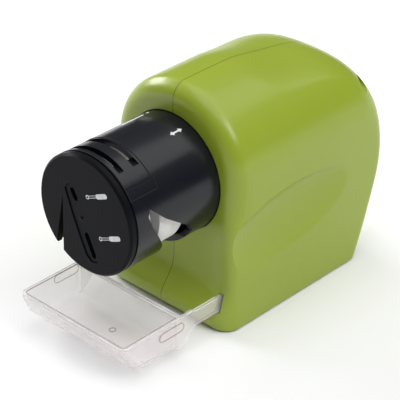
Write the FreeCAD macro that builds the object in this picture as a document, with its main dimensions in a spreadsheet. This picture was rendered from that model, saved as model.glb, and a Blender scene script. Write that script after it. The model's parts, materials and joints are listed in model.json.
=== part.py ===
import FreeCAD, Part
import math
import os

import Sketcher
from FreeCAD import Vector

# Battery knife sharpener with a turning head, in millimetres.
# X across the body, -Y to the front where the head stands out, Z up from the table.

os.makedirs("parts", exist_ok=True)
doc = FreeCAD.newDocument("knife_sharpener")
sheet = doc.addObject("Spreadsheet::Sheet", "Sizes")

SIZES = {
    # housing
    "housing_width": 75.4, "housing_top": 110.3, "shell_wall": 2.4, "collar_plane": -21.0,
    "rear_reach": 85.0, "bulge_height": 60.0, "waist_reach": 74.0, "waist_height": 14.0,
    "rim_height": 1.0, "chin_reach": 8.8, "chin_height": 7.0, "cheek_reach": 5.5, "cheek_drop": 14.0,
    "front_edge_radius": 8.0, "crown_depth_rear": 14.0, "crown_squareness": 3.0,
    "scoop_length": 57.0, "scoop_height": 23.0, "scoop_half_depth": 11.0, "scoop_depth": 3.0,
    "scoop_centre_y": 13.0, "scoop_centre_z": 41.0, "scoop_tilt": 5.0, "scoop_lean": 10.0,
    # turning head
    "axis_height": 68.4, "head_radius": 28.0, "head_reach": 53.3, "sleeve_wall": 2.6,
    "collar_gap": 0.4, "running_gap": 0.3, "flange_radius": 31.0, "flange_thickness": 2.0,
    "cap_thickness": 3.1, "cap_groove_depth": 0.8, "strip_depth": 0.5,
    "guide_length": 15.0, "guide_start": 4.3, "guide_half_angle": 46.5, "window_past_middle": 7.0,
    "knife_slot_floor": 23.7, "slot_one_start": 6.4, "slot_one_width": 3.0,
    "slot_two_start": 14.6, "slot_two_width": 3.4,
    # grinding spindle
    "motor_radius": 13.85, "motor_length": 32.8, "motor_front": -35.0, "shaft_radius": 1.15,
    "wheel_radius": 24.8, "wheel_rim": 2.2, "wheel_slope": 20.0, "wheel_base_radius": 15.0,
    "wheel_centre": 12.2, "drum_front": 19.8, "drum_length": 14.5, "hub_radius": 5.0,
    "nut_length": 3.0,
    # motor bracket
    "bracket_wall": 2.4, "bracket_radius": 33.6, "guide_ring_length": 9.0, "bulkhead_radius": 46.0,
    "screw_radius": 1.4, "screw_head_radius": 2.7, "screw_head_height": 1.6, "boss_radius": 3.4,
    # base and batteries
    "base_thickness": 2.4, "base_lift": 1.4, "fit_gap": 0.2, "well_half_width": 30.8,
    "well_front": -1.0, "well_rear": 57.0, "well_wall": 1.5, "well_top": 20.5,
    "battery_radius": 7.25, "battery_length": 50.5, "battery_pitch": 14.6, "door_thickness": 1.8,
    "door_margin": 0.7, "foot_radius": 3.8,
    # catch tray
    "tray_half_width": 32.7, "tray_front": -85.0, "tray_back": -50.0, "tray_top": 20.0,
    "tray_floor": 3.5, "tray_wall": 1.6, "tray_corner": 3.4,
    "arm_end": -3.0, "arm_bottom": 11.3, "arm_top": 18.9,
    "arm_slot_gap": 0.6,
    # power button
    "button_length": 24.0, "button_height": 13.0, "button_centre_y": 17.0, "button_centre_z": 46.0,
    "button_inset": 1.1, "carrier_inset": 20.0, "button_travel": 1.5, "button_gap": 0.35,
    "button_flange": 1.6,
    # side screw
    "side_screw_inset": 14.9, "side_screw_z": 87.6, "side_screw_depth": 17.7,
}
for row, (alias, value) in enumerate(SIZES.items(), start=1):
    sheet.set("A%d" % row, alias)
    sheet.set("B%d" % row, str(value))
    sheet.setAlias("B%d" % row, alias)
doc.recompute()


def size(alias):
    return float(sheet.get(alias))


def ref(expression):
    """Turns size names marked with $ into references to the sheet."""
    return expression.replace("$", "Sizes.")


def bind(target, prop, expression):
    target.setExpression(prop, ref(expression))


def place(target, x="0", y="0", z="0"):
    bind(target, ".Placement.Base.x", x)
    bind(target, ".Placement.Base.y", y)
    bind(target, ".Placement.Base.z", z)


def new_body(name, x="0", y="0", z="0"):
    body = doc.addObject("PartDesign::Body", name)
    body.Label = name
    place(body, x, y, z)
    return body


def new_sketch(body, name, plane, offset=None):
    sketch = body.newObject("Sketcher::SketchObject", name)
    support = [f for f in body.Origin.OriginFeatures if f.Role == plane][0]
    sketch.AttachmentSupport = [(support, "")]
    sketch.MapMode = "FlatFace"
    if offset:
        bind(sketch, ".AttachmentOffset.Base.z", offset)
    return sketch


def fix_point(sketch, geometry, position, across, up):
    for kind, expression in (("DistanceX", across), ("DistanceY", up)):
        index = sketch.addConstraint(Sketcher.Constraint(kind, -1, 1, geometry, position, 1.0))
        bind(sketch, "Constraints[%d]" % index, expression)


def polygon(sketch, corners):
    """Closed outline; every corner is a pair of expressions."""
    count = len(corners)
    first = sketch.GeometryCount
    spots = []
    for i in range(count):
        turn = 2 * math.pi * i / count
        spots.append(Vector(20 * math.cos(turn), 20 * math.sin(turn), 0))
    for i in range(count):
        sketch.addGeometry(Part.LineSegment(spots[i], spots[(i + 1) % count]), False)
    for i in range(count):
        following = first + (i + 1) % count
        sketch.addConstraint(Sketcher.Constraint("Coincident", first + i, 2, following, 1))
    for i, (across, up) in enumerate(corners):
        fix_point(sketch, first + i, 1, across, up)


def circle(sketch, across, up, radius):
    index = sketch.addGeometry(Part.Circle(Vector(1, 1, 0), Vector(0, 0, 1), 2.0), False)
    fix_point(sketch, index, 3, across, up)
    limit = sketch.addConstraint(Sketcher.Constraint("Radius", index, 2.0))
    bind(sketch, "Constraints[%d]" % limit, radius)


def turned(name, corners, y="$collar_plane", z="$axis_height", body=None):
    """Solid of revolution about a line along Y; corners are radius and distance pairs."""
    body = body or new_body(name, "0", y, z)
    sketch = new_sketch(body, name + "_profile", "XY_Plane")
    polygon(sketch, corners)
    turn = body.newObject("PartDesign::Revolution", name + "_turn")
    turn.Profile = sketch
    turn.ReferenceAxis = (sketch, ["V_Axis"])
    turn.Angle = 360
    return body


def padded(body, name, plane, draw, length, middle=False, back=False, offset=None, cut=False):
    """Pad or pocket of the outline that draw(sketch) makes."""
    sketch = new_sketch(body, name + "_outline", plane, offset)
    draw(sketch)
    kind = "PartDesign::Pocket" if cut else "PartDesign::Pad"
    feature = body.newObject(kind, name)
    feature.Profile = sketch
    bind(feature, "Length", length)
    feature.Midplane = middle
    feature.Reversed = back
    return feature


def box_outline(low_u, high_u, low_v, high_v):
    corners = [(low_u, low_v), (high_u, low_v), (high_u, high_v), (low_u, high_v)]
    return lambda sketch: polygon(sketch, corners)


def plain(name, shape):
    feature = doc.addObject("Part::Feature", name)
    feature.Label = name
    feature.Shape = shape
    feature.Placement = FreeCAD.Placement()
    return feature


# Housing: a crown of half ellipses lofted along the side outline, trimmed by the front face.
HALF_WIDTH = size("housing_width") / 2
WALL = size("shell_wall")
TOP = size("housing_top")
COLLAR = size("collar_plane")
REAR = size("rear_reach")
AXIS = size("axis_height")
RIM = size("rim_height")
CHEEK_DROP = size("cheek_drop")
GAP = size("fit_gap")


def spine():
    """Side outline of the crown, from above the collar to below the rear foot, sampled evenly."""
    bulge = size("bulge_height")
    waist_y = size("waist_reach")
    waist_z = size("waist_height")
    reach = REAR - COLLAR
    outline = [(COLLAR - 18, TOP - 0.8), (COLLAR + 12, TOP), (COLLAR + reach * 0.38, TOP - 0.8),
               (COLLAR + reach * 0.6, TOP - 4.6), (REAR - 21.5, TOP - 9.8), (REAR - 8.6, TOP - 20.5),
               (REAR - 2.0, TOP - 35), (REAR, bulge), (REAR - 1.9, bulge - 16),
               (REAR - 6, bulge - 31), (waist_y, waist_z), (waist_y - 6.5, waist_z - 18)]
    curve = Part.BSplineCurve()
    curve.interpolate([Vector(0, y, z) for y, z in outline])
    return curve.discretize(15)


def crown(inset):
    pivot = Vector(0, COLLAR - 18, -34)
    depth_rear = size("crown_depth_rear")
    squareness = size("crown_squareness")
    half = HALF_WIDTH - inset
    sections = []
    for point in spine():
        outward = point - pivot
        reach = outward.Length - inset
        outward.normalize()
        blend = min(1.0, max(0.0, (math.degrees(math.atan2(outward.y, outward.z)) - 18) / 38))
        blend = blend * blend * (3 - 2 * blend)
        depth = HALF_WIDTH + (depth_rear - HALF_WIDTH) * blend - inset
        power = 2 / (2 + (squareness - 2) * blend)
        across = Vector(1, 0, 0)
        centre = pivot + outward * (reach - depth)
        arch_points = []
        steps = 12
        for i in range(steps + 1):
            angle = math.pi * i / steps
            rise = depth * math.sin(angle) ** power
            side = half * math.copysign(abs(math.cos(angle)) ** power, math.cos(angle))
            arch_points.append(centre + outward * rise + across * side)
        arch = Part.BSplineCurve()
        arch.interpolate(Points=arch_points, InitialTangent=outward, FinalTangent=outward * -1)
        low_right = pivot + outward * 6 + across * half
        low_left = pivot + outward * 6 - across * half
        edges = [Part.makeLine(low_right, arch_points[0]), arch.toShape(),
                 Part.makeLine(arch_points[-1], low_left), Part.makeLine(low_left, low_right)]
        sections.append(Part.Wire(edges))
    return Part.makeLoft(sections, True, False)


def front_reach(share, height):
    """How far the front face stands before the collar plane, at a share of the half width."""
    chin = size("chin_reach") * math.exp(-((height - size("chin_height")) / 9.0) ** 2)
    cheek_top = AXIS - CHEEK_DROP
    cheek = size("cheek_reach") / (1 + math.exp((height - cheek_top) / 3.5))
    side = min(1.0, abs(share)) ** 4
    return chin * (1 - side) + cheek * side


def front_row(foot, heading, inset):
    """Points of the front face from inside the seam out to the rounded edge, on one side."""
    overlap = 0.1
    radius = size("front_edge_radius") - inset
    half = HALF_WIDTH - inset
    centre_height = TOP - HALF_WIDTH
    start = Vector(-2, 0, min(foot, centre_height))
    end = Vector(half, 0, start.z)
    if foot > centre_height:
        end = Vector(half * math.cos(heading), 0, centre_height + half * math.sin(heading))
    line = end - start
    length = line.Length
    line.normalize()
    flat = length - radius
    points = []
    for i in range(9):
        points.append((flat * i / 9, 0))
    for i in range(9):
        turn = math.pi / 2 * i / 8
        points.append((flat + (radius + overlap) * math.sin(turn), radius * (1 - math.cos(turn))))
    row = []
    for along, behind in points:
        spot = start + line * along
        share = spot.x / half
        reach = front_reach(share, spot.z)
        row.append(Vector(spot.x, COLLAR + inset - reach + behind, spot.z))
    return row


def behind_front(inset):
    """Everything on one side of the seam that lies behind the front face, inset by a wall."""
    centre_height = TOP - HALF_WIDTH
    rows = []
    low_steps = 16
    for i in range(low_steps + 1):
        height = -8 + (centre_height + 8) * i / low_steps
        rows.append(front_row(height, 0, inset))
    high_steps = 10
    for i in range(1, high_steps + 1):
        heading = math.radians(93.5) * i / high_steps
        rows.append(front_row(centre_height + 1, heading, inset))
    face = Part.BSplineSurface()
    face.interpolate(rows)
    return face.toShape().extrude(Vector(0, 150, 0))


def slab(low_x, high_x, low_y, high_y, low_z, high_z):
    return Part.makeBox(high_x - low_x, high_y - low_y, high_z - low_z, Vector(low_x, low_y, low_z))


def rod(radius, length, start, direction=Vector(0, 1, 0)):
    return Part.makeCylinder(radius, length, start, direction)


def half_envelope(inset):
    """Outer form of the +X half, inset by a wall where asked."""
    low = RIM if inset == 0 else RIM - 5
    shape = crown(inset).common(slab(0, HALF_WIDTH + 20, COLLAR - 70, REAR + 40, low, TOP + 90))
    return shape.common(behind_front(inset))


def scoop(growth):
    """Leaf-shaped hollow for the thumb, pressed into one side; grown by a wall for the inside."""
    ball = Part.makeSphere(1.0)
    stretch = FreeCAD.Matrix()
    stretch.scale(size("scoop_half_depth") + growth, size("scoop_length") + growth,
                  size("scoop_height") + growth)
    shape = ball.transformGeometry(stretch)
    shape.rotate(Vector(0, 0, 0), Vector(0, 1, 0), -size("scoop_lean"))
    shape.rotate(Vector(0, 0, 0), Vector(1, 0, 0), size("scoop_tilt"))
    out = HALF_WIDTH + size("scoop_half_depth") - size("scoop_depth")
    shape.translate(Vector(out, size("scoop_centre_y"), size("scoop_centre_z")))
    return shape


HEAD_GAP = size("running_gap")
FLANGE = size("flange_radius")
BRACKET_FRONT = COLLAR + WALL + 2 * HEAD_GAP + size("flange_thickness")
BRACKET_WALL = size("bracket_wall")
WELL_HALF = size("well_half_width")
WELL_FRONT = size("well_front")
WELL_REAR = size("well_rear")
BASE_LOW = size("base_lift")
BASE_TOP = BASE_LOW + size("base_thickness")
BOSS = size("boss_radius")
SCREW = size("screw_radius")
HEAD_R = size("screw_head_radius")
HEAD_H = size("screw_head_height")
BASE_BOSSES = [(22.0, WELL_FRONT - 11.5), (18.0, WELL_REAR + 4.5)]
BOSS_TOP = size("well_top") + 2
SIDE_Y = REAR - size("side_screw_inset")
SIDE_Z = size("side_screw_z")
SIDE_SEAT = HALF_WIDTH - size("side_screw_depth")
TRAY_HALF = size("tray_half_width")
TRAY_WALL = size("tray_wall")
ARM_LOW = size("arm_bottom")
ARM_HIGH = size("arm_top")
ARM_GAP = size("arm_slot_gap")
BUTTON_Y = size("button_centre_y")
BUTTON_Z = size("button_centre_z")
SWITCH_BOSS = size("button_length") / 2 + 7
CARRIER_FACE = HALF_WIDTH - size("carrier_inset")


def obround(length, height, low_x, depth, y, z):
    """Long rounded block along X, flat ends at low_x and low_x + depth."""
    radius = height / 2
    reach = length / 2 - radius
    middle = slab(low_x, low_x + depth, y - reach, y + reach, z - radius, z + radius)
    ends = [rod(radius, depth, Vector(low_x, y + side * reach, z), Vector(1, 0, 0)) for side in (-1, 1)]
    return middle.multiFuse(ends).removeSplitter()


def bracket_channel():
    """Bulkhead inside the collar with a groove that clamps the motor bracket as the halves close."""
    front = COLLAR - 12
    rear = BRACKET_FRONT + BRACKET_WALL + 2
    ring = rod(size("bulkhead_radius"), rear - front, Vector(0, front, AXIS))
    ring = ring.cut(rod(FLANGE + 0.4, rear - front, Vector(0, front, AXIS)))
    groove = rod(size("bracket_radius") + 0.1, BRACKET_WALL, Vector(0, BRACKET_FRONT, AXIS))
    return ring.cut(groove)


def inner_ribs():
    """Bosses and shelves of the +X half, before they are trimmed to the outer form."""
    ribs = [bracket_channel()]
    for x, y in BASE_BOSSES:
        ribs.append(rod(BOSS, BOSS_TOP - BASE_TOP, Vector(x, y, BASE_TOP), Vector(0, 0, 1)))
    front_y = BASE_BOSSES[0][1]
    rear_y = BASE_BOSSES[1][1]
    ribs.append(slab(BASE_BOSSES[0][0] - 1, BASE_BOSSES[0][0] + 1, COLLAR - 19, front_y, BASE_TOP, BOSS_TOP))
    ribs.append(slab(BASE_BOSSES[1][0] - 1, BASE_BOSSES[1][0] + 1, rear_y, REAR + 5, BASE_TOP, BOSS_TOP))
    shelf_end = size("arm_end") + 20
    for low in (ARM_LOW - 0.3 - 1.4, ARM_HIGH + 0.3):
        ribs.append(slab(WELL_HALF + 0.3, HALF_WIDTH, COLLAR - 19, shelf_end, low, low + 1.4))
    return ribs


def housing_half(side, outer, middle, cavity):
    """One moulded half; side is 1 for the half with the screw hole and -1 for the one with the button."""
    pocket = cavity.cut(scoop(WALL))
    shell = outer.cut(pocket)
    ribs = inner_ribs()
    direction = Vector(1, 0, 0)
    ribs.append(rod(BOSS + 0.8, HALF_WIDTH + 20 if side > 0 else 14, Vector(0, SIDE_Y, SIDE_Z), direction))
    if side < 0:
        for step in (-1, 1):
            start = Vector(CARRIER_FACE, BUTTON_Y + step * SWITCH_BOSS, BUTTON_Z)
            ribs.append(rod(BOSS, 30, start, direction))
    inside = ribs[0].multiFuse(ribs[1:]).common(middle)
    shell = shell.fuse(inside)
    cuts = [scoop(0)]
    cuts.append(rod(size("head_radius") + size("collar_gap"), WALL + 0.6 + 20, Vector(0, COLLAR - 20, AXIS)))
    low_x = TRAY_HALF - TRAY_WALL - ARM_GAP
    cuts.append(slab(low_x, TRAY_HALF + ARM_GAP, COLLAR - 19, COLLAR + 6, ARM_LOW - 0.6, ARM_HIGH + 0.6))
    for x, y in BASE_BOSSES:
        cuts.append(rod(SCREW - 0.3, 14, Vector(x, y, BASE_TOP), Vector(0, 0, 1)))
    if side > 0:
        cuts.append(rod(HEAD_R + 0.3, 40, Vector(SIDE_SEAT, SIDE_Y, SIDE_Z), direction))
        cuts.append(rod(SCREW + 0.2, SIDE_SEAT, Vector(0, SIDE_Y, SIDE_Z), direction))
    else:
        cuts.append(rod(SCREW - 0.3, 10, Vector(0, SIDE_Y, SIDE_Z), direction))
        gap = size("button_gap")
        cuts.append(obround(size("button_length") + 2 * gap, size("button_height") + 2 * gap,
                            HALF_WIDTH - 12, 20, BUTTON_Y, BUTTON_Z))
        for step in (-1, 1):
            start = Vector(CARRIER_FACE, BUTTON_Y + step * SWITCH_BOSS, BUTTON_Z)
            cuts.append(rod(SCREW - 0.3, 8, start, direction))
    shell = cut_each(shell, cuts)
    if side < 0:
        shell = shell.mirror(Vector(0, 0, 0), Vector(1, 0, 0))
    return shell


def cut_each(shape, tools):
    for tool in tools:
        shape = shape.cut(tool)
    return shape


def screw(seat, direction, length):
    """Pan-head screw whose head rests on seat and whose shank runs along direction."""
    head = rod(HEAD_R, HEAD_H, seat - direction * HEAD_H, direction)
    shank = rod(SCREW - 0.3, length, seat, direction)
    return head.fuse(shank)


outer_half = half_envelope(0)
middle_half = half_envelope(WALL / 2)
cavity_half = half_envelope(WALL)
plain("housing_left", housing_half(1, outer_half, middle_half, cavity_half))
plain("housing_right", housing_half(-1, outer_half, middle_half, cavity_half))


# Base moulding: floor plate with the battery well, screwed up into both halves.
DOOR_FRONT = WELL_FRONT - size("door_margin")
DOOR_REAR = WELL_REAR + size("door_margin")
DOOR_HALF = WELL_HALF + size("door_margin")
DOOR_THICK = size("door_thickness")
WELL_WALL = size("well_wall")
UP = Vector(0, 0, 1)


def base_moulding():
    half = half_envelope(WALL + GAP).common(slab(0, HALF_WIDTH, COLLAR - 70, REAR + 40, BASE_LOW, BASE_TOP))
    plate = half.fuse(half.mirror(Vector(0, 0, 0), Vector(1, 0, 0)))
    well = slab(-WELL_HALF, WELL_HALF, WELL_FRONT, WELL_REAR, BASE_LOW, size("well_top"))
    shape = plate.fuse(well)
    shape = shape.cut(slab(-WELL_HALF + WELL_WALL, WELL_HALF - WELL_WALL, WELL_FRONT + WELL_WALL,
                           WELL_REAR - WELL_WALL, 0, size("well_top") - WELL_WALL))
    shape = shape.cut(slab(-DOOR_HALF, DOOR_HALF, DOOR_FRONT, DOOR_REAR, 0, BASE_LOW + DOOR_THICK))
    for side in (-1, 1):
        for x, y in BASE_BOSSES:
            shape = shape.cut(rod(SCREW, 10, Vector(side * x, y, 0), UP))
            shape = shape.cut(rod(HEAD_R + 0.3, 1.0, Vector(side * x, y, BASE_LOW), UP))
    return shape


FEET = [(28.0, COLLAR + 3.5), (25.2, WELL_REAR + 4.8)]


def foot_places():
    return [(side * x, y) for side in (-1, 1) for x, y in FEET]


plain("base_moulding", base_moulding())
base_screws = []
for side in (-1, 1):
    for x, y in BASE_BOSSES:
        base_screws.append(screw(Vector(side * x, y, BASE_LOW + 1.0), UP, 10.0))
plain("base_screws", Part.makeCompound(base_screws))
plain("side_screw", screw(Vector(SIDE_SEAT, SIDE_Y, SIDE_Z), Vector(-1, 0, 0), SIDE_SEAT + 8))

# Battery door: rounded front edge turns in the recess of the base moulding.
door_body = new_body("battery_door", "0", "0", "$base_lift")
door_half = "$well_half_width + $door_margin - $fit_gap"
door_front = "$well_front - $door_margin + $fit_gap"
door_rear = "$well_rear + $door_margin - $fit_gap"
hinge_y = door_front + " + $door_thickness / 2"
padded(door_body, "door_plate", "XY_Plane",
       box_outline("-(" + door_half + ")", door_half, hinge_y, door_rear), "$door_thickness")
padded(door_body, "door_hinge_edge", "YZ_Plane",
       lambda s: circle(s, hinge_y, "$door_thickness / 2", "$door_thickness / 2"),
       "2 * (" + door_half + ")", middle=True)
padded(door_body, "door_grip", "XY_Plane",
       box_outline("-8", "8", "$well_rear - 9", "$well_rear - 5"), "$door_thickness / 2",
       back=True, cut=True)

# Four cells side by side, alternate ones reversed, between flat contacts and springs.
contact = 0.5
cell_height = size("well_top") - WELL_WALL - size("battery_radius")
cell_front = WELL_FRONT + WELL_WALL + contact
for i in range(4):
    cell = turned("battery_%d" % (i + 1),
                  [("0", "0"), ("$battery_radius", "0"), ("$battery_radius", "$battery_length - 1"),
                   ("2.75", "$battery_length - 1"), ("2.75", "$battery_length"), ("0", "$battery_length")],
                  "$well_front + $well_wall + 0.5", "$well_top - $well_wall - $battery_radius")
    bind(cell, ".Placement.Base.x", "(%d - 1.5) * $battery_pitch" % i)
    if i % 2:
        bind(cell, ".Placement.Base.y", "$well_front + $well_wall + 0.5 + $battery_length")
        bind(cell, ".Placement.Base.x", "(%d - 1.5) * $battery_pitch" % i)
        cell.Placement.Rotation = FreeCAD.Rotation(Vector(0, 0, 1), 180)
plates = []
springs = []
for i in range(4):
    x = (i - 1.5) * size("battery_pitch")
    for y in (WELL_FRONT + WELL_WALL, WELL_REAR - WELL_WALL - contact):
        plates.append(slab(x - 5.5, x + 5.5, y, y + contact, cell_height - 6, cell_height + 6))
    start = cell_front + size("battery_length")
    reach = WELL_REAR - WELL_WALL - contact - start
    coil = Part.makeCone(2.6, 4.4, reach, Vector(x, start, cell_height), Vector(0, 1, 0))
    springs.append(coil.cut(Part.makeCone(1.9, 3.7, reach, Vector(x, start, cell_height), Vector(0, 1, 0))))
plain("battery_contacts", Part.makeCompound(plates))
plain("battery_springs", Part.makeCompound(springs))
feet = [rod(size("foot_radius"), BASE_LOW, Vector(x, y, 0), UP) for x, y in foot_places()]
plain("rubber_feet", Part.makeCompound(feet))

# Turning head: sleeve, end cap and knife guide share one axis.
cap_back = "-($head_reach - $cap_thickness)"
guide_front = "-($head_reach - $guide_start)"
guide_back = "-($head_reach - $guide_start - $guide_length)"
bore = "$head_radius - $sleeve_wall"
flange_front = "$shell_wall + $running_gap"
flange_back = "$shell_wall + $running_gap + $flange_thickness"
sleeve = turned("head_sleeve", [
    (bore, cap_back), ("$head_radius - $cap_groove_depth", cap_back),
    ("$head_radius - $cap_groove_depth", guide_front), ("$head_radius", guide_front),
    ("$head_radius", flange_front), ("$flange_radius", flange_front),
    ("$flange_radius", flange_back), (bore, flange_back)])
WEDGE = [("0", "0"), ("45 * sin($guide_half_angle)", "45 * cos($guide_half_angle)"),
         ("-45 * sin($guide_half_angle)", "45 * cos($guide_half_angle)")]
NOTCH = [("-13.3", "5"), ("-14.4", "-32"), ("-20.6", "-32")]
padded(sleeve, "guide_opening", "XZ_Plane", lambda s: polygon(s, WEDGE), "$guide_length",
       offset="$head_reach - $guide_start - $guide_length", back=True, cut=True)
padded(sleeve, "notch_opening", "XZ_Plane", lambda s: polygon(s, NOTCH), "16",
       offset="$head_reach - $cap_thickness - 16", back=True, cut=True)
WINDOW = [("-42.5", "6"), ("-40.8", "9"), ("-33", "1.6"), ("-17", "-9.8"), ("-12.8", "-15.0"),
          ("-13.8", "-20"), ("-13.8", "-34"), ("-25", "-34"), ("-31.9", "-13.6"), ("-40.6", "0")]
padded(sleeve, "scissor_window", "YZ_Plane", lambda s: polygon(s, WINDOW), "$head_radius + 20",
       offset="-$window_past_middle", back=True, cut=True)

guide = turned("knife_guide", [(bore, guide_front), ("$head_radius", guide_front),
                               ("$head_radius", guide_back), (bore, guide_back)])
REST = [("0", "0"), WEDGE[1], ("60", WEDGE[1][1]), ("60", "-60"), ("-60", "-60"), ("-60", WEDGE[1][1]),
        WEDGE[2]]
padded(guide, "guide_sector", "XZ_Plane", lambda s: polygon(s, REST), "$guide_length",
       offset="$head_reach - $guide_start - $guide_length", back=True, cut=True)
for name in ("slot_one", "slot_two"):
    padded(guide, name, "XZ_Plane", box_outline("-40", "40", "$knife_slot_floor", "40"),
           "$%s_width" % name, offset="$head_reach - $%s_start - $%s_width" % (name, name),
           back=True, cut=True)

cap = turned("end_cap", [
    ("0", "-$head_reach"), ("$head_radius - 1", "-$head_reach"), ("$head_radius", "1 - $head_reach"),
    ("$head_radius", cap_back), (bore, cap_back), (bore, cap_back + " + 1.6"),
    (bore + " - 1.6", cap_back + " + 1.6"), (bore + " - 1.6", cap_back), ("0", cap_back)])
padded(cap, "cap_notch", "XZ_Plane", lambda s: polygon(s, NOTCH), "8",
       offset="$head_reach - 6", back=True, cut=True)


def slot_outline(sketch, start, end, width):
    """Straight slot with rounded ends between two centres."""
    run = Vector(end[0] - start[0], end[1] - start[1], 0)
    heading = math.atan2(run.y, run.x)
    corners = []
    for centre, turn in ((end, -90), (start, 90)):
        for step in range(5):
            angle = heading + math.radians(turn + 45 * step)
            corners.append(("%.4f" % (centre[0] + width / 2 * math.cos(angle)),
                            "%.4f" % (centre[1] + width / 2 * math.sin(angle))))
    polygon(sketch, corners)


STRIP = [(-12, 9.3), (-7.8, -2.1), (-3.9, -11), (0, -19.1), (2.9, -21.7), (6.9, -20.7), (8.7, -17.7),
         (6.4, -12.8), (3.7, -4.5), (-1.2, 7.5), (-4, 12.4), (-9, 12.8)]
padded(cap, "driver_strip", "XZ_Plane", lambda s: polygon(s, [(str(x), str(y)) for x, y in STRIP]), "8",
       offset="$head_reach - $strip_depth", back=True, cut=True)
for name, start, end in (("driver_slot_small", (-7.6, 9.4), (-5.7, 6.1)),
                         ("driver_slot_large", (0.4, -9.6), (4.5, -18.2))):
    padded(cap, name, "XZ_Plane", lambda s, a=start, b=end: slot_outline(s, a, b, 2.7), "8",
           offset="$head_reach - 6", back=True, cut=True)

# Grinding spindle: motor shaft, hub, double-cone wheel for knives and drum for scissors.
wheel_mid = "$wheel_centre - $head_reach"
half_rim = "$wheel_rim"
half_base = "$wheel_rim + ($wheel_radius - $wheel_base_radius) * tan($wheel_slope)"
drum_front = "$drum_front - $head_reach"
drum_back = "$drum_front + $drum_length - $head_reach"
hub_end = wheel_mid + " - (" + half_base + ")"
turned("knife_wheel", [
    ("$hub_radius", wheel_mid + " - (" + half_base + ")"),
    ("$wheel_base_radius", wheel_mid + " - (" + half_base + ")"),
    ("$wheel_radius", wheel_mid + " - " + half_rim), ("$wheel_radius", wheel_mid + " + " + half_rim),
    ("$wheel_base_radius", wheel_mid + " + " + half_base), ("$hub_radius", wheel_mid + " + " + half_base)])
turned("scissor_drum", [("$hub_radius", drum_front), ("$wheel_radius", drum_front),
                        ("$wheel_radius", drum_back), ("$hub_radius", drum_back)])
turned("wheel_spacer", [("$hub_radius", wheel_mid + " + " + half_base),
                        ("$hub_radius + 3", wheel_mid + " + " + half_base),
                        ("$hub_radius + 3", drum_front), ("$hub_radius", drum_front)])
turned("drive_hub", [("$shaft_radius", hub_end), ("$hub_radius", hub_end), ("$hub_radius", drum_back),
                     ("$hub_radius + 4", drum_back), ("$hub_radius + 4", drum_back + " + 1.3"),
                     ("$shaft_radius", drum_back + " + 1.3")])
nut = new_body("spindle_nut", "0", "$collar_plane", "$axis_height")
HEX = [("6.4 * cos(%d)" % (60 * i), "6.4 * sin(%d)" % (60 * i)) for i in range(6)]
padded(nut, "nut_hex", "XZ_Plane", lambda s: polygon(s, HEX), "$nut_length - 1",
       offset="-(" + hub_end + ")")
padded(nut, "nut_bore", "XZ_Plane", lambda s: circle(s, "0", "0", "$shaft_radius"), "10",
       offset="-(" + hub_end + ") - 1", back=True, cut=True)
turned("motor_shaft", [("0", hub_end + " - $nut_length + 0.4"),
                       ("$shaft_radius", hub_end + " - $nut_length + 0.4"),
                       ("$shaft_radius", "$motor_front - $collar_plane + 12"),
                       ("0", "$motor_front - $collar_plane + 12")])

# Motor with its bracket, held between the halves.
motor_face = "$motor_front - $collar_plane"
turned("motor_can", [
    ("$shaft_radius + 0.3", motor_face + " - 1.6"), ("3.4", motor_face + " - 1.6"), ("3.4", motor_face),
    ("$motor_radius", motor_face), ("$motor_radius", motor_face + " + $motor_length - 4"),
    ("0", motor_face + " + $motor_length - 4"), ("0", motor_face + " + 12.5"),
    ("$shaft_radius + 0.3", motor_face + " + 12.5")])
turned("motor_end_bell", [
    ("0", motor_face + " + $motor_length - 4"), ("$motor_radius - 0.4", motor_face + " + $motor_length - 4"),
    ("$motor_radius - 0.4", motor_face + " + $motor_length - 1.5"),
    ("5", motor_face + " + $motor_length - 1.5"),
    ("5", motor_face + " + $motor_length"), ("0", motor_face + " + $motor_length")])
plate_front = "$shell_wall + 2 * $running_gap + $flange_thickness"
ring_out = "$head_radius - $sleeve_wall - $running_gap"
cup = "$motor_radius + $bracket_wall"
turned("motor_bracket", [
    ("3.5", motor_face + " - $bracket_wall"), (cup, motor_face + " - $bracket_wall"), (cup, plate_front),
    (ring_out + " - $bracket_wall", plate_front),
    (ring_out + " - $bracket_wall", plate_front + " - $guide_ring_length"),
    (ring_out, plate_front + " - $guide_ring_length"), (ring_out, plate_front),
    ("$bracket_radius", plate_front), ("$bracket_radius", plate_front + " + $bracket_wall"),
    (cup, plate_front + " + $bracket_wall"), (cup, plate_front + " + 7"),
    ("$motor_radius", plate_front + " + 7"), ("$motor_radius", motor_face), ("3.5", motor_face)])


# Catch tray: clear basin whose side walls run back as arms into the housing.
TRAY_FRONT = size("tray_front")
TRAY_BACK = size("tray_back")
TRAY_TOP = size("tray_top")
TRAY_FLOOR = size("tray_floor")
ARM_END = size("arm_end")


def basin(inset):
    """Solid with the basin's outer form, or its hollow where inset by the wall."""
    low = TRAY_FLOOR + inset
    front = TRAY_FRONT + inset
    top = TRAY_TOP if inset == 0 else TRAY_TOP + 5
    outline = [(front, top), (front, TRAY_TOP - 3), (front + 3.2, low + 6.4), (front + 8, low + 2.0),
               (front + 14, low), (TRAY_BACK - inset, low), (TRAY_BACK - inset, top)]
    face = Part.Face(Part.makePolygon([Vector(0, y, z) for y, z in outline + outline[:1]]))
    half = TRAY_HALF - inset
    solid = face.extrude(Vector(2 * half, 0, 0))
    solid.translate(Vector(-half, 0, 0))
    corners = []
    for edge in solid.Edges:
        box = edge.BoundBox
        on_side = abs(abs(box.Center.x) - half) < 0.01
        if on_side and box.ZMax < top - 0.5 and box.YMin < TRAY_BACK - inset - 0.5:
            corners.append(edge)
        elif on_side and box.YMax < front + 0.2:
            corners.append(edge)
    return solid.makeFillet(size("tray_corner") - inset, corners)


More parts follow.
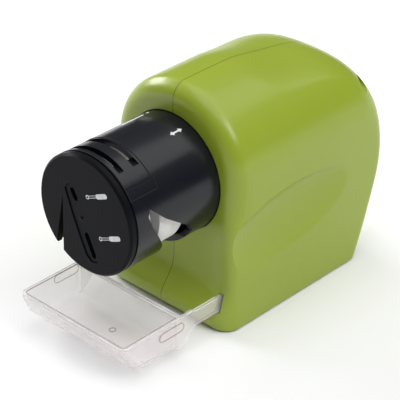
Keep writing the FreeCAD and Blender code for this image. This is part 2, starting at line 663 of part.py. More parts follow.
def catch_tray():
    shape = basin(0).cut(basin(TRAY_WALL))
    outline = [(TRAY_BACK - 8, TRAY_TOP), (TRAY_BACK - 8, TRAY_FLOOR + 5), (TRAY_BACK - 1, TRAY_FLOOR),
               (TRAY_BACK + 0.8, TRAY_FLOOR), (TRAY_BACK + 7.6, TRAY_FLOOR + 6.4), (TRAY_BACK + 9.5, ARM_LOW),
               (ARM_END, ARM_LOW), (ARM_END, ARM_HIGH), (TRAY_BACK + 9.5, ARM_HIGH),
               (TRAY_BACK + 7, TRAY_TOP)]
    face = Part.Face(Part.makePolygon([Vector(0, y, z) for y, z in outline + outline[:1]]))
    for low in (-TRAY_HALF, TRAY_HALF - TRAY_WALL):
        arm = face.extrude(Vector(TRAY_WALL, 0, 0))
        arm.translate(Vector(low, 0, 0))
        shape = shape.fuse(arm)
    for low in (-TRAY_HALF - 0.6, TRAY_HALF - 0.1):
        shape = shape.fuse(obround(15, 4.3, low, 0.7, TRAY_BACK - 6.5, TRAY_TOP - 4.3))
    return shape


plain("catch_tray", catch_tray())

# Power button on the hidden side, with its return spring, switch and carrier.
button_front = size("button_inset") - HALF_WIDTH
lean = math.radians(size("scoop_lean"))
deepest = math.hypot(size("scoop_half_depth") * math.cos(lean), size("scoop_height") * math.sin(lean))
deepest += size("scoop_depth") - size("scoop_half_depth")
flange_x = -(HALF_WIDTH - deepest - WALL) + 0.05
flange_depth = size("button_flange")
cap_shape = obround(size("button_length"), size("button_height"), button_front,
                    flange_x - button_front, BUTTON_Y, BUTTON_Z)
flange = obround(size("button_length") + 3, size("button_height") + 3, flange_x, flange_depth,
                 BUTTON_Y, BUTTON_Z)
stem_start = Vector(flange_x + flange_depth, BUTTON_Y, BUTTON_Z)
SWITCH_FACE = -CARRIER_FACE - 5.8
PLUNGER = 0.8
stem_length = SWITCH_FACE - PLUNGER - size("button_travel") - 0.2 - stem_start.x
ACROSS = Vector(1, 0, 0)
plain("power_button", cap_shape.multiFuse([flange, rod(2.0, stem_length, stem_start, ACROSS)]))
spring_length = SWITCH_FACE - size("button_travel") - 0.3 - stem_start.x
tube = rod(3.4, spring_length, stem_start, ACROSS).cut(rod(2.6, spring_length, stem_start, ACROSS))
plain("button_spring", tube)
switch = slab(SWITCH_FACE, -CARRIER_FACE, BUTTON_Y - 6.4, BUTTON_Y + 6.4, BUTTON_Z - 3.25, BUTTON_Z + 3.25)
plunger = rod(1.1, PLUNGER, Vector(SWITCH_FACE - PLUNGER, BUTTON_Y, BUTTON_Z), ACROSS)
plain("micro_switch", switch.fuse(plunger))
carrier = slab(-CARRIER_FACE, -CARRIER_FACE + 2, BUTTON_Y - SWITCH_BOSS - 4, BUTTON_Y + SWITCH_BOSS + 4,
               BUTTON_Z - 6, BUTTON_Z + 6)
carrier_screws = []
for step in (-1, 1):
    spot = Vector(-CARRIER_FACE + 2, BUTTON_Y + step * SWITCH_BOSS, BUTTON_Z)
    carrier = carrier.cut(rod(SCREW, 4, spot - ACROSS * 3, ACROSS))
    carrier_screws.append(screw(spot, Vector(-1, 0, 0), 8.0))
plain("switch_carrier", carrier)
plain("carrier_screws", Part.makeCompound(carrier_screws))

doc.recompute()

# Every sub-part is checked before its file is written.
for item in doc.Objects:
    if "Invalid" in item.State or "Error" in item.State:
        raise RuntimeError("%s failed: %s" % (item.Label, item.State))
kinds = ("PartDesign::Body", "Part::Feature")
for item in doc.Objects:
    if item.TypeId not in kinds:
        continue
    shape = item.Shape
    if shape.isNull() or not shape.isValid():
        raise RuntimeError("%s has no valid shape" % item.Label)
    box = shape.BoundBox
    print(item.Label, len(shape.Solids), round(shape.Volume), [round(v, 1) for v in
          (box.XMin, box.XMax, box.YMin, box.YMax, box.ZMin, box.ZMax)])
    shape.exportStep("parts/%s.step" % item.Label)
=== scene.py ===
import json
import math

import bmesh
import bpy
from mathutils import Matrix, Vector


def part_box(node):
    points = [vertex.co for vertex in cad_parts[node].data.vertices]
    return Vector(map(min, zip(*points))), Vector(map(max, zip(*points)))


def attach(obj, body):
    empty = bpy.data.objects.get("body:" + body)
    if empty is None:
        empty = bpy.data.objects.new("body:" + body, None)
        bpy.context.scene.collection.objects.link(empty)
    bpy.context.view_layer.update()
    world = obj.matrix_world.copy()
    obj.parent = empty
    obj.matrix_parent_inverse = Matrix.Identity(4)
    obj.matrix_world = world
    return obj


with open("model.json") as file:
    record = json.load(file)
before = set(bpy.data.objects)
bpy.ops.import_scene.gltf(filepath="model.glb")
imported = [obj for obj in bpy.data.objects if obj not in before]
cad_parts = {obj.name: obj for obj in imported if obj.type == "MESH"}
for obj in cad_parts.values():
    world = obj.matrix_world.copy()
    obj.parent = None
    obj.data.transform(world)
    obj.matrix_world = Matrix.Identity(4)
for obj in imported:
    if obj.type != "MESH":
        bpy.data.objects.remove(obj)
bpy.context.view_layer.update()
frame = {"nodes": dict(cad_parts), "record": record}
nodes = frame["nodes"]
mm = 0.001

# Places that several pieces share, read from the frame
capLow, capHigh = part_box("end_cap")
headRadius = (capHigh.x - capLow.x) / 2
axisHeight = (capHigh.z + capLow.z) / 2
headFront = capLow.y
trayLow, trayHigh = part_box("catch_tray")


# Shader nodes that every material uses

def newMaterial(name):
    mat = bpy.data.materials.new(name)
    mat.use_nodes = True
    tree = mat.node_tree
    return mat, tree, tree.nodes["Principled BSDF"]


def addNode(tree, kind, **settings):
    node = tree.nodes.new(kind)
    for key, value in settings.items():
        if key in node.inputs:
            node.inputs[key].default_value = value
        else:
            setattr(node, key, value)
    return node


def objectNoise(tree, scale, detail=3.0):
    coords = tree.nodes.new("ShaderNodeTexCoord")
    noise = addNode(tree, "ShaderNodeTexNoise", Scale=scale, Detail=detail)
    tree.links.new(coords.outputs["Object"], noise.inputs["Vector"])
    return noise.outputs["Fac"]


def ramp(tree, source, stops):
    node = tree.nodes.new("ShaderNodeValToRGB")
    elements = node.color_ramp.elements
    while len(elements) < len(stops):
        elements.new(0.5)
    for element, (position, colour) in zip(elements, stops):
        element.position = position
        element.color = colour
    tree.links.new(source, node.inputs["Fac"])
    return node.outputs["Color"]


def remap(tree, source, low, high):
    node = addNode(tree, "ShaderNodeMapRange", **{"To Min": low, "To Max": high})
    tree.links.new(source, node.inputs["Value"])
    return node


def multiply(tree, first, second):
    mix = addNode(tree, "ShaderNodeMix", data_type="RGBA", blend_type="MULTIPLY")
    mix.inputs[0].default_value = 1.0
    tree.links.new(first, mix.inputs[6])
    tree.links.new(second, mix.inputs[7])
    return mix.outputs[2]


def addBump(tree, shader, source, strength, distance):
    bump = addNode(tree, "ShaderNodeBump", Strength=strength, Distance=distance)
    tree.links.new(source, bump.inputs["Height"])
    tree.links.new(bump.outputs["Normal"], shader.inputs["Normal"])


def toneStops(colour, low, high, places=(0.3, 0.7)):  # the colour, darkened and lightened
    return [(place, (*(part * factor for part in colour), 1.0)) for place, factor in zip(places, (low, high))]


# Moulded plastics: slow drift of tone, fine orange peel and uneven gloss

plasticGrain = {
    "driftScale": 18.0,
    "smearScale": 60.0,
    "smearDetail": 5.0,
    "peelScale": 900.0,
    "peelDetail": 2.0,
    "peelDepth": 0.4 * mm,
    "gloss": (0.8, 1.25),
    "coatRough": 0.08,
}
plasticLooks = {
    "housing_green": {"name": "housingGreen", "colour": (0.300, 0.388, 0.026), "rough": 0.32,
                      "spread": 0.02, "coat": 0.12},
    "button_green": {"name": "buttonGreen", "colour": (0.25, 0.33, 0.022), "rough": 0.30, "spread": 0.03},
    "base_plastic": {"name": "basePlastic", "colour": (0.24, 0.31, 0.022), "rough": 0.45,
                     "spread": 0.05, "peel": 0.15},
    "head_black": {"name": "headBlack", "colour": (0.0065, 0.0070, 0.0110), "rough": 0.22,
                   "spread": 0.10, "level": 0.38},
    "cap_black": {"name": "capBlack", "colour": (0.0065, 0.0068, 0.0085), "rough": 0.34,
                  "spread": 0.10, "level": 0.06},
    "inner_plastic": {"name": "innerPlastic", "colour": (0.05, 0.05, 0.055), "rough": 0.5,
                      "spread": 0.08, "peel": 0.15},
    "foot_rubber": {"name": "footRubber", "colour": (0.02, 0.02, 0.02), "rough": 0.8,
                    "spread": 0.15, "peel": 0.4},
    "groove_shadow": {"name": "grooveShadow", "colour": (0.003, 0.003, 0.003), "rough": 0.85, "spread": 0.3},
}
seamLook = {"clear": 0.15 * mm, "reach": 0.3 * mm, "dark": 0.42}


def mouldedPlastic(name, colour, rough, spread, peel=0.04, coat=0.0, level=0.5):
    mat, tree, shader = newMaterial(name)
    drift = objectNoise(tree, plasticGrain["driftScale"])
    tone = ramp(tree, drift, toneStops(colour, 1 - spread, 1 + spread))
    tree.links.new(tone, shader.inputs["Base Color"])
    smear = objectNoise(tree, plasticGrain["smearScale"], plasticGrain["smearDetail"])
    gloss = remap(tree, smear, *(rough * factor for factor in plasticGrain["gloss"]))
    tree.links.new(gloss.outputs["Result"], shader.inputs["Roughness"])
    fine = objectNoise(tree, plasticGrain["peelScale"], plasticGrain["peelDetail"])
    addBump(tree, shader, fine, peel, plasticGrain["peelDepth"])
    shader.inputs["Specular IOR Level"].default_value = level
    shader.inputs["Coat Weight"].default_value = coat
    shader.inputs["Coat Roughness"].default_value = plasticGrain["coatRough"]
    return mat


def addSeam(mat):  # darkens a hairline where the two halves of the housing meet
    tree = mat.node_tree
    shader = tree.nodes["Principled BSDF"]
    coords = tree.nodes.new("ShaderNodeTexCoord")
    split = tree.nodes.new("ShaderNodeSeparateXYZ")
    tree.links.new(coords.outputs["Object"], split.inputs["Vector"])
    away = addNode(tree, "ShaderNodeMath", operation="ABSOLUTE")
    tree.links.new(split.outputs["X"], away.inputs[0])
    line = remap(tree, away.outputs["Value"], seamLook["dark"], 1.0)
    line.inputs["From Min"].default_value = seamLook["clear"]
    line.inputs["From Max"].default_value = seamLook["reach"]
    source = shader.inputs["Base Color"].links[0].from_socket
    tree.links.new(multiply(tree, source, line.outputs["Result"]), shader.inputs["Base Color"])


# Metals with fine drawn lines, stretched along a turned piece

metalGrain = {"scale": 400.0, "detail": 4.0, "tone": (0.85, 1.1), "gloss": (0.7, 1.3), "bump": 0.1,
              "depth": 0.3 * mm}
metalLooks = {
    "screw_steel": {"name": "screwSteel", "colour": (0.55, 0.55, 0.56), "rough": 0.3},
    "contact_metal": {"name": "contactMetal", "colour": (0.70, 0.69, 0.66), "rough": 0.3},
    "motor_steel": {"name": "motorSteel", "colour": (0.5, 0.5, 0.52), "rough": 0.35, "stretch": 12.0},
    "spindle_brass": {"name": "spindleBrass", "colour": (0.72, 0.55, 0.26), "rough": 0.25, "stretch": 10.0},
}


def metal(name, colour, rough, stretch=1.0):
    mat, tree, shader = newMaterial(name)
    coords = tree.nodes.new("ShaderNodeTexCoord")
    mapping = addNode(tree, "ShaderNodeMapping", Scale=(1.0, stretch, 1.0))
    noise = addNode(tree, "ShaderNodeTexNoise", Scale=metalGrain["scale"], Detail=metalGrain["detail"])
    tree.links.new(coords.outputs["Object"], mapping.inputs["Vector"])
    tree.links.new(mapping.outputs["Vector"], noise.inputs["Vector"])
    lines = noise.outputs["Fac"]
    tree.links.new(ramp(tree, lines, toneStops(colour, *metalGrain["tone"])), shader.inputs["Base Color"])
    gloss = remap(tree, lines, *(rough * factor for factor in metalGrain["gloss"]))
    tree.links.new(gloss.outputs["Result"], shader.inputs["Roughness"])
    addBump(tree, shader, lines, metalGrain["bump"], metalGrain["depth"])
    shader.inputs["Metallic"].default_value = 1.0
    return mat


# White abrasive of the grinding wheels: pale grains, darker specks and a rough surface

stoneLook = {
    "grainScale": 1400.0,
    "cloudScale": 90.0,
    "cloudDetail": 6.0,
    "cloud": [(0.25, (0.72, 0.71, 0.69, 1)), (0.75, (0.90, 0.89, 0.88, 1))],
    "speck": [(0.05, (0.75, 0.74, 0.72, 1)), (0.35, (1, 1, 1, 1))],
    "rough": 0.85,
    "bump": 0.35,
    "depth": 0.3 * mm,
}


def grindingStone(name):
    mat, tree, shader = newMaterial(name)
    coords = tree.nodes.new("ShaderNodeTexCoord")
    grains = addNode(tree, "ShaderNodeTexVoronoi", Scale=stoneLook["grainScale"])
    tree.links.new(coords.outputs["Object"], grains.inputs["Vector"])
    cloud = objectNoise(tree, stoneLook["cloudScale"], stoneLook["cloudDetail"])
    tone = ramp(tree, cloud, stoneLook["cloud"])
    speck = ramp(tree, grains.outputs["Distance"], stoneLook["speck"])
    tree.links.new(multiply(tree, tone, speck), shader.inputs["Base Color"])
    shader.inputs["Roughness"].default_value = stoneLook["rough"]
    addBump(tree, shader, grains.outputs["Distance"], stoneLook["bump"], stoneLook["depth"])
    return mat


# Clear tray: rosy tint, thin haze, and a denser look where the wall is seen edge on

clearLook = {
    "blend": 0.4,
    "tint": [(0.2, (0.99, 0.95, 0.955, 1)), (0.8, (0.95, 0.88, 0.885, 1)), (1.0, (0.66, 0.53, 0.50, 1))],
    "driftScale": 25.0,
    "drift": [(0.3, (0.97, 0.965, 0.965, 1)), (0.7, (1, 1, 1, 1))],
    "alpha": (0.16, 0.50),
    "hazeScale": 140.0,
    "hazeDetail": 6.0,
    "rough": (0.04, 0.14),
    "swellScale": 35.0,
    "swellDetail": 1.0,
    "swell": 0.02,
    "swellDepth": 0.4 * mm,
    "level": 1.0,
    "ior": 1.55,
}


def clearPlastic(name):
    mat, tree, shader = newMaterial(name)
    facing = addNode(tree, "ShaderNodeLayerWeight", Blend=clearLook["blend"]).outputs["Facing"]
    tint = ramp(tree, facing, clearLook["tint"])
    drift = ramp(tree, objectNoise(tree, clearLook["driftScale"]), clearLook["drift"])
    tree.links.new(multiply(tree, tint, drift), shader.inputs["Base Color"])
    dense = remap(tree, facing, *clearLook["alpha"])
    tree.links.new(dense.outputs["Result"], shader.inputs["Alpha"])
    haze = objectNoise(tree, clearLook["hazeScale"], clearLook["hazeDetail"])
    gloss = remap(tree, haze, *clearLook["rough"])
    tree.links.new(gloss.outputs["Result"], shader.inputs["Roughness"])
    swell = objectNoise(tree, clearLook["swellScale"], clearLook["swellDetail"])
    addBump(tree, shader, swell, clearLook["swell"], clearLook["swellDepth"])
    shader.inputs["Specular IOR Level"].default_value = clearLook["level"]
    shader.inputs["IOR"].default_value = clearLook["ior"]
    return mat


# Thin layers: a cell's dark sleeve, the printed ink, and light caught along a clear edge

layerLooks = {
    "cell_jacket": {"name": "cellJacket", "scale": 300.0, "detail": 3.0, "rough": 0.32, "bump": 0.03,
                    "tones": [(0.3, (0.028, 0.030, 0.034, 1)), (0.7, (0.045, 0.047, 0.052, 1))],
                    "metallic": 0.4},
    "ink_white": {"name": "inkWhite", "scale": 700.0, "detail": 4.0, "rough": 0.5, "bump": 0.05,
                  "tones": toneStops((0.80, 0.81, 0.84), 0.86, 1.0, (0.35, 0.6))},
    "edge_amber": {"name": "edgeAmber", "scale": 160.0, "detail": 3.0, "rough": 0.15, "bump": 0.04,
                   "tones": toneStops((0.30, 0.185, 0.15), 0.85, 1.1), "alpha": 0.62},
    # pale threads of painted highlight, where light catches the tray's rim and arm edges
    "edge_highlight": {"name": "edgeHighlight", "scale": 160.0, "detail": 3.0, "rough": 0.15, "bump": 0.04,
                  "tones": toneStops((0.97, 0.95, 0.95), 0.85, 1.1), "alpha": 0.85},
}
layerDepth = 0.2 * mm


def thinLayer(name, scale, detail, tones, rough, bump, metallic=0.0, alpha=1.0):
    mat, tree, shader = newMaterial(name)
    fine = objectNoise(tree, scale, detail)
    tree.links.new(ramp(tree, fine, tones), shader.inputs["Base Color"])
    shader.inputs["Roughness"].default_value = rough
    shader.inputs["Metallic"].default_value = metallic
    shader.inputs["Alpha"].default_value = alpha
    addBump(tree, shader, fine, bump, layerDepth)
    return mat


materials = {slot: mouldedPlastic(**look) for slot, look in plasticLooks.items()}
materials.update({slot: metal(**look) for slot, look in metalLooks.items()})
materials.update({slot: thinLayer(**look) for slot, look in layerLooks.items()})
materials["grinding_stone"] = grindingStone("grindingStone")
materials["tray_clear"] = clearPlastic("trayClear")
addSeam(materials["housing_green"])
print("materials made", len(materials))


# Finishes of the frame's own pieces

slots = {part["node"]: part["material_slot"] for part in frame["record"]["subparts"]}
finishes = {"end_cap": "cap_black"}  # duller than the barrel
smoothing = {"weld": 0.01 * mm, "sharpest": math.radians(28)}


def dress(node):
    obj = nodes[node]
    obj.data.materials.clear()
    obj.data.materials.append(materials[finishes.get(node, slots[node])])
    for polygon in obj.data.polygons:
        polygon.use_smooth = True
    weld = obj.modifiers.new("weld", "WELD")
    weld.merge_threshold = smoothing["weld"]
    edge = obj.modifiers.new("edge", "EDGE_SPLIT")
    edge.split_angle = smoothing["sharpest"]


for node in nodes:
    dress(node)
print("frame dressed", len(nodes))


# Marks are drawn flat as (across, along), thickened, then laid on the head

markSizes = {
    "thin": 0.12 * mm,  # how far a mark stands out, and how far it sinks in
    "circle": 16,       # straight sides of a disc
    "cornerSteps": 6,
}
oneDegree = math.radians(1) * headRadius  # run round the barrel


def finishPiece(name, work, finish):
    mesh = bpy.data.meshes.new(name)
    work.to_mesh(mesh)
    work.free()
    mesh.materials.append(materials[finish])
    piece = bpy.data.objects.new(name, mesh)
    bpy.context.scene.collection.objects.link(piece)
    return piece


def onFace(across, up, lift):
    return Vector((across, headFront - lift, axisHeight + up))


def onBarrel(around, along, lift):
    angle = around / headRadius
    reach = headRadius + lift
    return Vector((math.sin(angle) * reach, along, axisHeight + math.cos(angle) * reach))


def layMark(name, work, surface, finish="ink_white"):
    for vert in work.verts:
        vert.co.z = -markSizes["thin"]
    raised = bmesh.ops.extrude_face_region(work, geom=list(work.faces))["geom"]
    top = [item for item in raised if isinstance(item, bmesh.types.BMVert)]
    bmesh.ops.translate(work, vec=(0, 0, 2 * markSizes["thin"]), verts=top)
    for vert in work.verts:
        vert.co = surface(*vert.co)
    bmesh.ops.recalc_face_normals(work, faces=work.faces)
    bmesh.ops.triangulate(work, faces=work.faces)
    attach(finishPiece(name, work, finish), "head")


def addBox(work, left, right, low, high):
    corners = ((left, low), (right, low), (right, high), (left, high))
    verts = [work.verts.new((u, v, 0)) for u, v in corners]
    work.faces.new(verts)
    return verts


def addRoundBar(work, left, right, width):
    verts = addBox(work, left, right, -width / 2, width / 2)
    bmesh.ops.bevel(work, geom=verts, offset=width * 0.499, affect="VERTICES",
                    segments=markSizes["cornerSteps"], profile=0.5, material=-1)


def addDisc(work, radius, centre=(0, 0)):
    made = bmesh.ops.create_circle(work, cap_ends=True, segments=markSizes["circle"], radius=radius)
    bmesh.ops.translate(work, vec=(centre[0], centre[1], 0), verts=made["verts"])
    return made["verts"][0].link_faces[0]


def openInset(work, faces, width):  # keeps only a border of the faces
    bmesh.ops.inset_region(work, faces=faces, thickness=width, use_boundary=True, use_even_offset=True)
    bmesh.ops.delete(work, geom=faces, context="FACES")


# Hairlines of painted shade in the gaps round the knife guide and its grip pad, and a dark disc of painted
# shade for a moulded recessed dot in the cap

hairlines = {
    "width": 0.45 * mm,
    "insertGap": (-46.5, 46.5, -70.0 * mm, -55.0 * mm),  # degrees from the top, then along
    "padGap": (46.5, 58.0, -70.0 * mm, -54.5 * mm),
    "capDot": (-2.7 * mm, -2.4 * mm, 0.65 * mm),
    "degreesAStep": 4,
    "fewestSteps": 4,
}


def frameLine(name):
    first, last, front, back = hairlines[name]
    half = hairlines["width"] / 2
    left = first * oneDegree - half
    right = last * oneDegree + half
    steps = max(hairlines["fewestSteps"], int((last - first) / hairlines["degreesAStep"]))
    size = Vector((right - left, back - front + 2 * half, 1))
    work = bmesh.new()
    bmesh.ops.create_grid(work, x_segments=steps, y_segments=1, size=0.5)
    bmesh.ops.scale(work, vec=size, verts=work.verts)
    bmesh.ops.translate(work, vec=((left + right) / 2, (front + back) / 2, 0), verts=work.verts)
    openInset(work, list(work.faces), hairlines["width"])
    layMark(name, work, onBarrel, "groove_shadow")


def capDot():
    across, up, radius = hairlines["capDot"]
    work = bmesh.new()
    addDisc(work, radius, (across, up))
    layMark("capDot", work, onFace, "groove_shadow")


frameLine("insertGap")
frameLine("padGap")
capDot()
print("hairlines drawn")


# Screwdriver pictograms on the cap: ring at the tip, outlined shank, solid handle

driverSizes = {
    "slope": math.radians(23.4),
    "handle": (7.2 * mm, 2.3 * mm),
    "shank": (4.6 * mm, 1.2 * mm),
    "ring": (0.6 * mm, 1.0 * mm),
    "line": 0.24 * mm,
    "markDriverSmall": (2.3 * mm, 10.2 * mm),
    "markDriverLarge": (9.6 * mm, -7.2 * mm),
}


def driverMark(name):
    inner, outer = driverSizes["ring"]
    length, width = driverSizes["shank"]
    grip, thick = driverSizes["handle"]
    line = driverSizes["line"]
    work = bmesh.new()
    openInset(work, [addDisc(work, outer)], outer - inner)
    for low in (-width / 2, width / 2 - line):
        addBox(work, outer, outer + length, low, low + line)
    addRoundBar(work, outer + length, outer + length + grip, thick)
    turn = Matrix.Rotation(driverSizes["slope"], 3, "Z")
    bmesh.ops.rotate(work, cent=(0, 0, 0), matrix=turn, verts=work.verts)
    bmesh.ops.translate(work, vec=(*driverSizes[name], 0), verts=work.verts)
    layMark(name, work, onFace)


driverMark("markDriverSmall")
driverMark("markDriverLarge")


# Marks on the barrel that show how far the head is turned

barrelSizes = {
    "bar": {"degrees": -25.0, "front": -41.0 * mm, "back": -27.2 * mm, "width": 1.3 * mm},
    "dot": {"degrees": -25.0, "along": -24.7 * mm, "radius": 0.75 * mm},
    "arrow": {"degrees": 21.0, "front": -33.0 * mm, "back": -25.9 * mm, "shaft": 0.8 * mm, "head": 2.5 * mm},
    "tip": 0.75,  # length of an arrow head against its width
}


def barMark():
    size = barrelSizes["bar"]
    work = bmesh.new()
    addRoundBar(work, size["front"], size["back"], size["width"])
    bmesh.ops.rotate(work, cent=(0, 0, 0), matrix=Matrix.Rotation(math.pi / 2, 3, "Z"), verts=work.verts)
    bmesh.ops.translate(work, vec=(size["degrees"] * oneDegree, 0, 0), verts=work.verts)
    layMark("markBar", work, onBarrel)


def dotMark():
    size = barrelSizes["dot"]
    work = bmesh.new()
    addDisc(work, size["radius"], (size["degrees"] * oneDegree, size["along"]))
    layMark("markDot", work, onBarrel)


def arrowMark():
    size = barrelSizes["arrow"]
    half = (size["back"] - size["front"]) / 2
    neck = half - size["head"] * barrelSizes["tip"]
    quarter = [(0, half), (size["head"] / 2, neck), (size["shaft"] / 2, neck)]
    right = quarter + [(u, -v) for u, v in reversed(quarter)]
    outline = right + [(-u, v) for u, v in reversed(right[1:-1])]
    work = bmesh.new()
    work.faces.new([work.verts.new((u, v, 0)) for u, v in outline])
    middle = (size["front"] + size["back"]) / 2
    bmesh.ops.translate(work, vec=(size["degrees"] * oneDegree, middle, 0), verts=work.verts)
    layMark("markArrow", work, onBarrel)


barMark()
dotMark()
arrowMark()
print("marks printed")


# Edges of the clear tray: amber threads where the plastic looks denser, and pale threads of painted highlight
# along the rims, arm tops and slopes

traySizes = {
    "half": 32.7 * mm,
    "wall": 1.6 * mm,
    "corner": 3.4 * mm,
    "back": -50.0 * mm,
    "rimEnd": 7.0 * mm,  # from the back of the basin to where a rim turns down to its arm
    "armStart": 9.5 * mm,
    "armEnd": -27.5 * mm,
    "armLow": 11.3 * mm,
    "armHigh": 18.9 * mm,
    "grip": {"length": 15.0 * mm, "height": 4.3 * mm, "along": -56.5 * mm, "up": 15.7 * mm,
             "proud": 0.6 * mm},  # the raised pad that a finger pulls
    "floorMark": {"across": 2.3 * mm, "along": -62.4 * mm, "radius": 1.5 * mm},
}
threadSizes = {"fine": 0.13 * mm, "rim": 0.18 * mm, "back": 0.4 * mm, "skin": 0.1 * mm, "rimInset": 0.2 * mm}
arcSteps = {"corner": 5, "gripEnd": 6, "ring": 16}


def thread(name, points, finish, radius=threadSizes["fine"], closed=False):
    work = bmesh.new()
    rings = []
    corner = radius * math.sqrt(2)  # the tube is square
    last = len(points) - 1
    for i, point in enumerate(points):
        before = points[i - 1] if closed or i > 0 else point
        after = points[(i + 1) % len(points)] if closed or i < last else point
        turn = (after - before).to_track_quat("Z", "Y").to_matrix().to_4x4()
        place = Matrix.Translation(point) @ turn @ Matrix.Rotation(math.pi / 4, 4, "Z")
        end = not closed and i in (0, last)
        made = bmesh.ops.create_circle(work, cap_ends=end, segments=4, radius=corner, matrix=place)
        edges = [edge for vert in made["verts"] for edge in vert.link_edges if edge.verts[0] == vert]
        rings.append(edges)
    if closed:
        rings.append(rings[0])
    for ring, following in zip(rings, rings[1:]):
        bmesh.ops.bridge_loops(work, edges=ring + following)
    bmesh.ops.recalc_face_normals(work, faces=work.faces)
    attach(finishPiece(name, work, finish), "tray")


def arcPairs(centre, radius, start, sweep, steps):
    angles = [math.radians(start + sweep * i / steps) for i in range(steps + 1)]
    return [(centre[0] + radius * math.cos(a), centre[1] + radius * math.sin(a)) for a in angles]


def rimPath(inset, height, back):  # round the front, from one side's back end to the other's
    half = traySizes["half"] - inset
    radius = traySizes["corner"] - inset
    front = trayLow.y + inset + radius
    corners = arcPairs((radius - half, front), radius, 180, 90, arcSteps["corner"])
    corners += arcPairs((half - radius, front), radius, 270, 90, arcSteps["corner"])
    return [Vector((x, y, height)) for x, y in [(-half, back)] + corners + [(half, back)]]


def gripPath(side):
    size = traySizes["grip"]
    x = side * (traySizes["half"] + size["proud"])
    radius = size["height"] / 2
    reach = size["length"] / 2 - radius
    pairs = arcPairs((size["along"] + reach, size["up"]), radius, -90, 180, arcSteps["gripEnd"])
    pairs += arcPairs((size["along"] - reach, size["up"]), radius, 90, 180, arcSteps["gripEnd"])
    return [Vector((x, y, z)) for y, z in pairs]


def rimEdges(top):
    back = traySizes["back"]
    wall = traySizes["wall"]
    inner = traySizes["half"] - wall
    outer = rimPath(threadSizes["rimInset"], top, back + traySizes["rimEnd"])
    thread("rimOuterEdge", outer, "edge_highlight", threadSizes["rim"])
    thread("rimInnerEdge", rimPath(wall, top, back - wall), "edge_amber")
    for name, y in (("rimBackInner", back - wall), ("rimBackOuter", back)):
        ends = [Vector((-inner, y, top)), Vector((inner, y, top))]
        thread(name, ends, "edge_highlight", threadSizes["back"])


def sideEdges(side, label, top):
    start = traySizes["back"] + traySizes["armStart"]
    outside = traySizes["half"] - threadSizes["skin"]
    inside = traySizes["half"] - traySizes["wall"]
    thread("grip" + label, gripPath(side), "edge_amber", closed=True)
    rows = (("armTop", traySizes["armHigh"], "edge_highlight"), ("armLow", traySizes["armLow"], "edge_amber"))
    for row, height, finish in rows:
        for x in (outside, inside):
            run = [Vector((side * x, y, height)) for y in (start, traySizes["armEnd"])]
            thread("%s%s%d" % (row, label, round(x / (0.1 * mm))), run, finish)
    slope = [Vector((side * outside, traySizes["back"] + traySizes["rimEnd"], top)),
             Vector((side * outside, start, traySizes["armHigh"]))]
    thread("armSlope" + label, slope, "edge_highlight")


def floorRing():
    size = traySizes["floorMark"]
    height = trayLow.z + traySizes["wall"] + threadSizes["skin"]
    pairs = arcPairs((size["across"], size["along"]), size["radius"], 0, 360, arcSteps["ring"])
    ring = [Vector((x, y, height)) for x, y in pairs[:-1]]
    thread("floorMark", ring, "edge_amber", closed=True)


rimTop = trayHigh.z - threadSizes["fine"]
rimEdges(rimTop)
sideEdges(-1, "Left", rimTop)
sideEdges(1, "Right", rimTop)
floorRing()
print("tray edges drawn")


# Floor, lights and camera

floorLook = {"half": 3.0, "scale": 4.0, "rough": 0.9,
             "tones": [(0.3, (0.93, 0.93, 0.93, 1)), (0.7, (0.95, 0.95, 0.95, 1))]}
lights = {
    "keyAbove": {"place": (0.25, 0.16, 1.5), "target": (0, 0, 0.05), "size": (2.1, 2.1), "power": 19},
    "fillRight": {"place": (1.3, 0.2, 1.2), "target": (0, 0, 0.05), "size": (0.7, 0.7), "power": 8},
    "fillLeft": {"place": (-1.4, -0.07, 0.64), "target": (0, -0.06, 0.0), "size": (0.9, 0.5), "power": 16},
}
skyTones = [(0.0, (0.06, 0.06, 0.063, 1)), (0.5, (0.16, 0.16, 0.165, 1)), (0.95, (0.50, 0.50, 0.51, 1))]
cameraPlace = {
    "azimuth": math.radians(43.643),
    "elevation": math.radians(31.074),
    "target": Vector((0.00202, -0.00624, 0.0474)),
    "distance": 0.80676,
    "sensor": 36.0,
    "lens": 162.0,
    "nearest": 0.01,
}


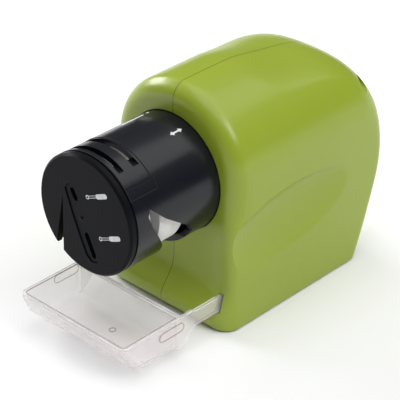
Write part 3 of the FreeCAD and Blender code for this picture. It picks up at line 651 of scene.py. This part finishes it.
def addFloor():
    mat, tree, shader = newMaterial("floorPaper")
    cloud = objectNoise(tree, floorLook["scale"])
    tree.links.new(ramp(tree, cloud, floorLook["tones"]), shader.inputs["Base Color"])
    shader.inputs["Roughness"].default_value = floorLook["rough"]
    work = bmesh.new()
    bmesh.ops.create_grid(work, x_segments=2, y_segments=2, size=floorLook["half"])
    mesh = bpy.data.meshes.new("floor")
    work.to_mesh(mesh)
    work.free()
    mesh.materials.append(mat)
    floor = bpy.data.objects.new("floor", mesh)
    bpy.context.scene.collection.objects.link(floor)


def aimed(direction):
    return direction.to_track_quat("-Z", "Y").to_euler()


def addLight(name, place, target, size, power):
    data = bpy.data.lights.new(name, "AREA")
    data.shape = "RECTANGLE"
    data.size, data.size_y = size
    data.energy = power
    light = bpy.data.objects.new(name, data)
    light.location = place
    light.rotation_euler = aimed(Vector(target) - Vector(place))
    bpy.context.scene.collection.objects.link(light)


def addSky():  # pale studio surround, dim at the horizon and brighter overhead
    world = bpy.data.worlds.new("studio")
    world.use_nodes = True
    tree = world.node_tree
    coords = tree.nodes.new("ShaderNodeTexCoord")
    split = tree.nodes.new("ShaderNodeSeparateXYZ")
    tree.links.new(coords.outputs["Generated"], split.inputs["Vector"])
    tone = ramp(tree, split.outputs["Z"], skyTones)
    tree.links.new(tone, tree.nodes["Background"].inputs["Color"])
    bpy.context.scene.world = world


def addCamera():
    azimuth = cameraPlace["azimuth"]
    elevation = cameraPlace["elevation"]
    level = math.cos(elevation)
    back = Vector((math.sin(azimuth) * level, -math.cos(azimuth) * level, math.sin(elevation)))
    data = bpy.data.cameras.new("camera")
    data.sensor_width = cameraPlace["sensor"]
    data.lens = cameraPlace["lens"]
    data.clip_start = cameraPlace["nearest"]
    camera = bpy.data.objects.new("camera", data)
    camera.location = cameraPlace["target"] + back * cameraPlace["distance"]
    camera.rotation_euler = aimed(-back)
    bpy.context.scene.collection.objects.link(camera)
    bpy.context.scene.camera = camera


addFloor()
for name, light in lights.items():
    addLight(name, **light)
addSky()
bpy.context.scene.view_settings.view_transform = "Standard"  # colours come out as mixed
addCamera()
print("floor, lights and camera placed")
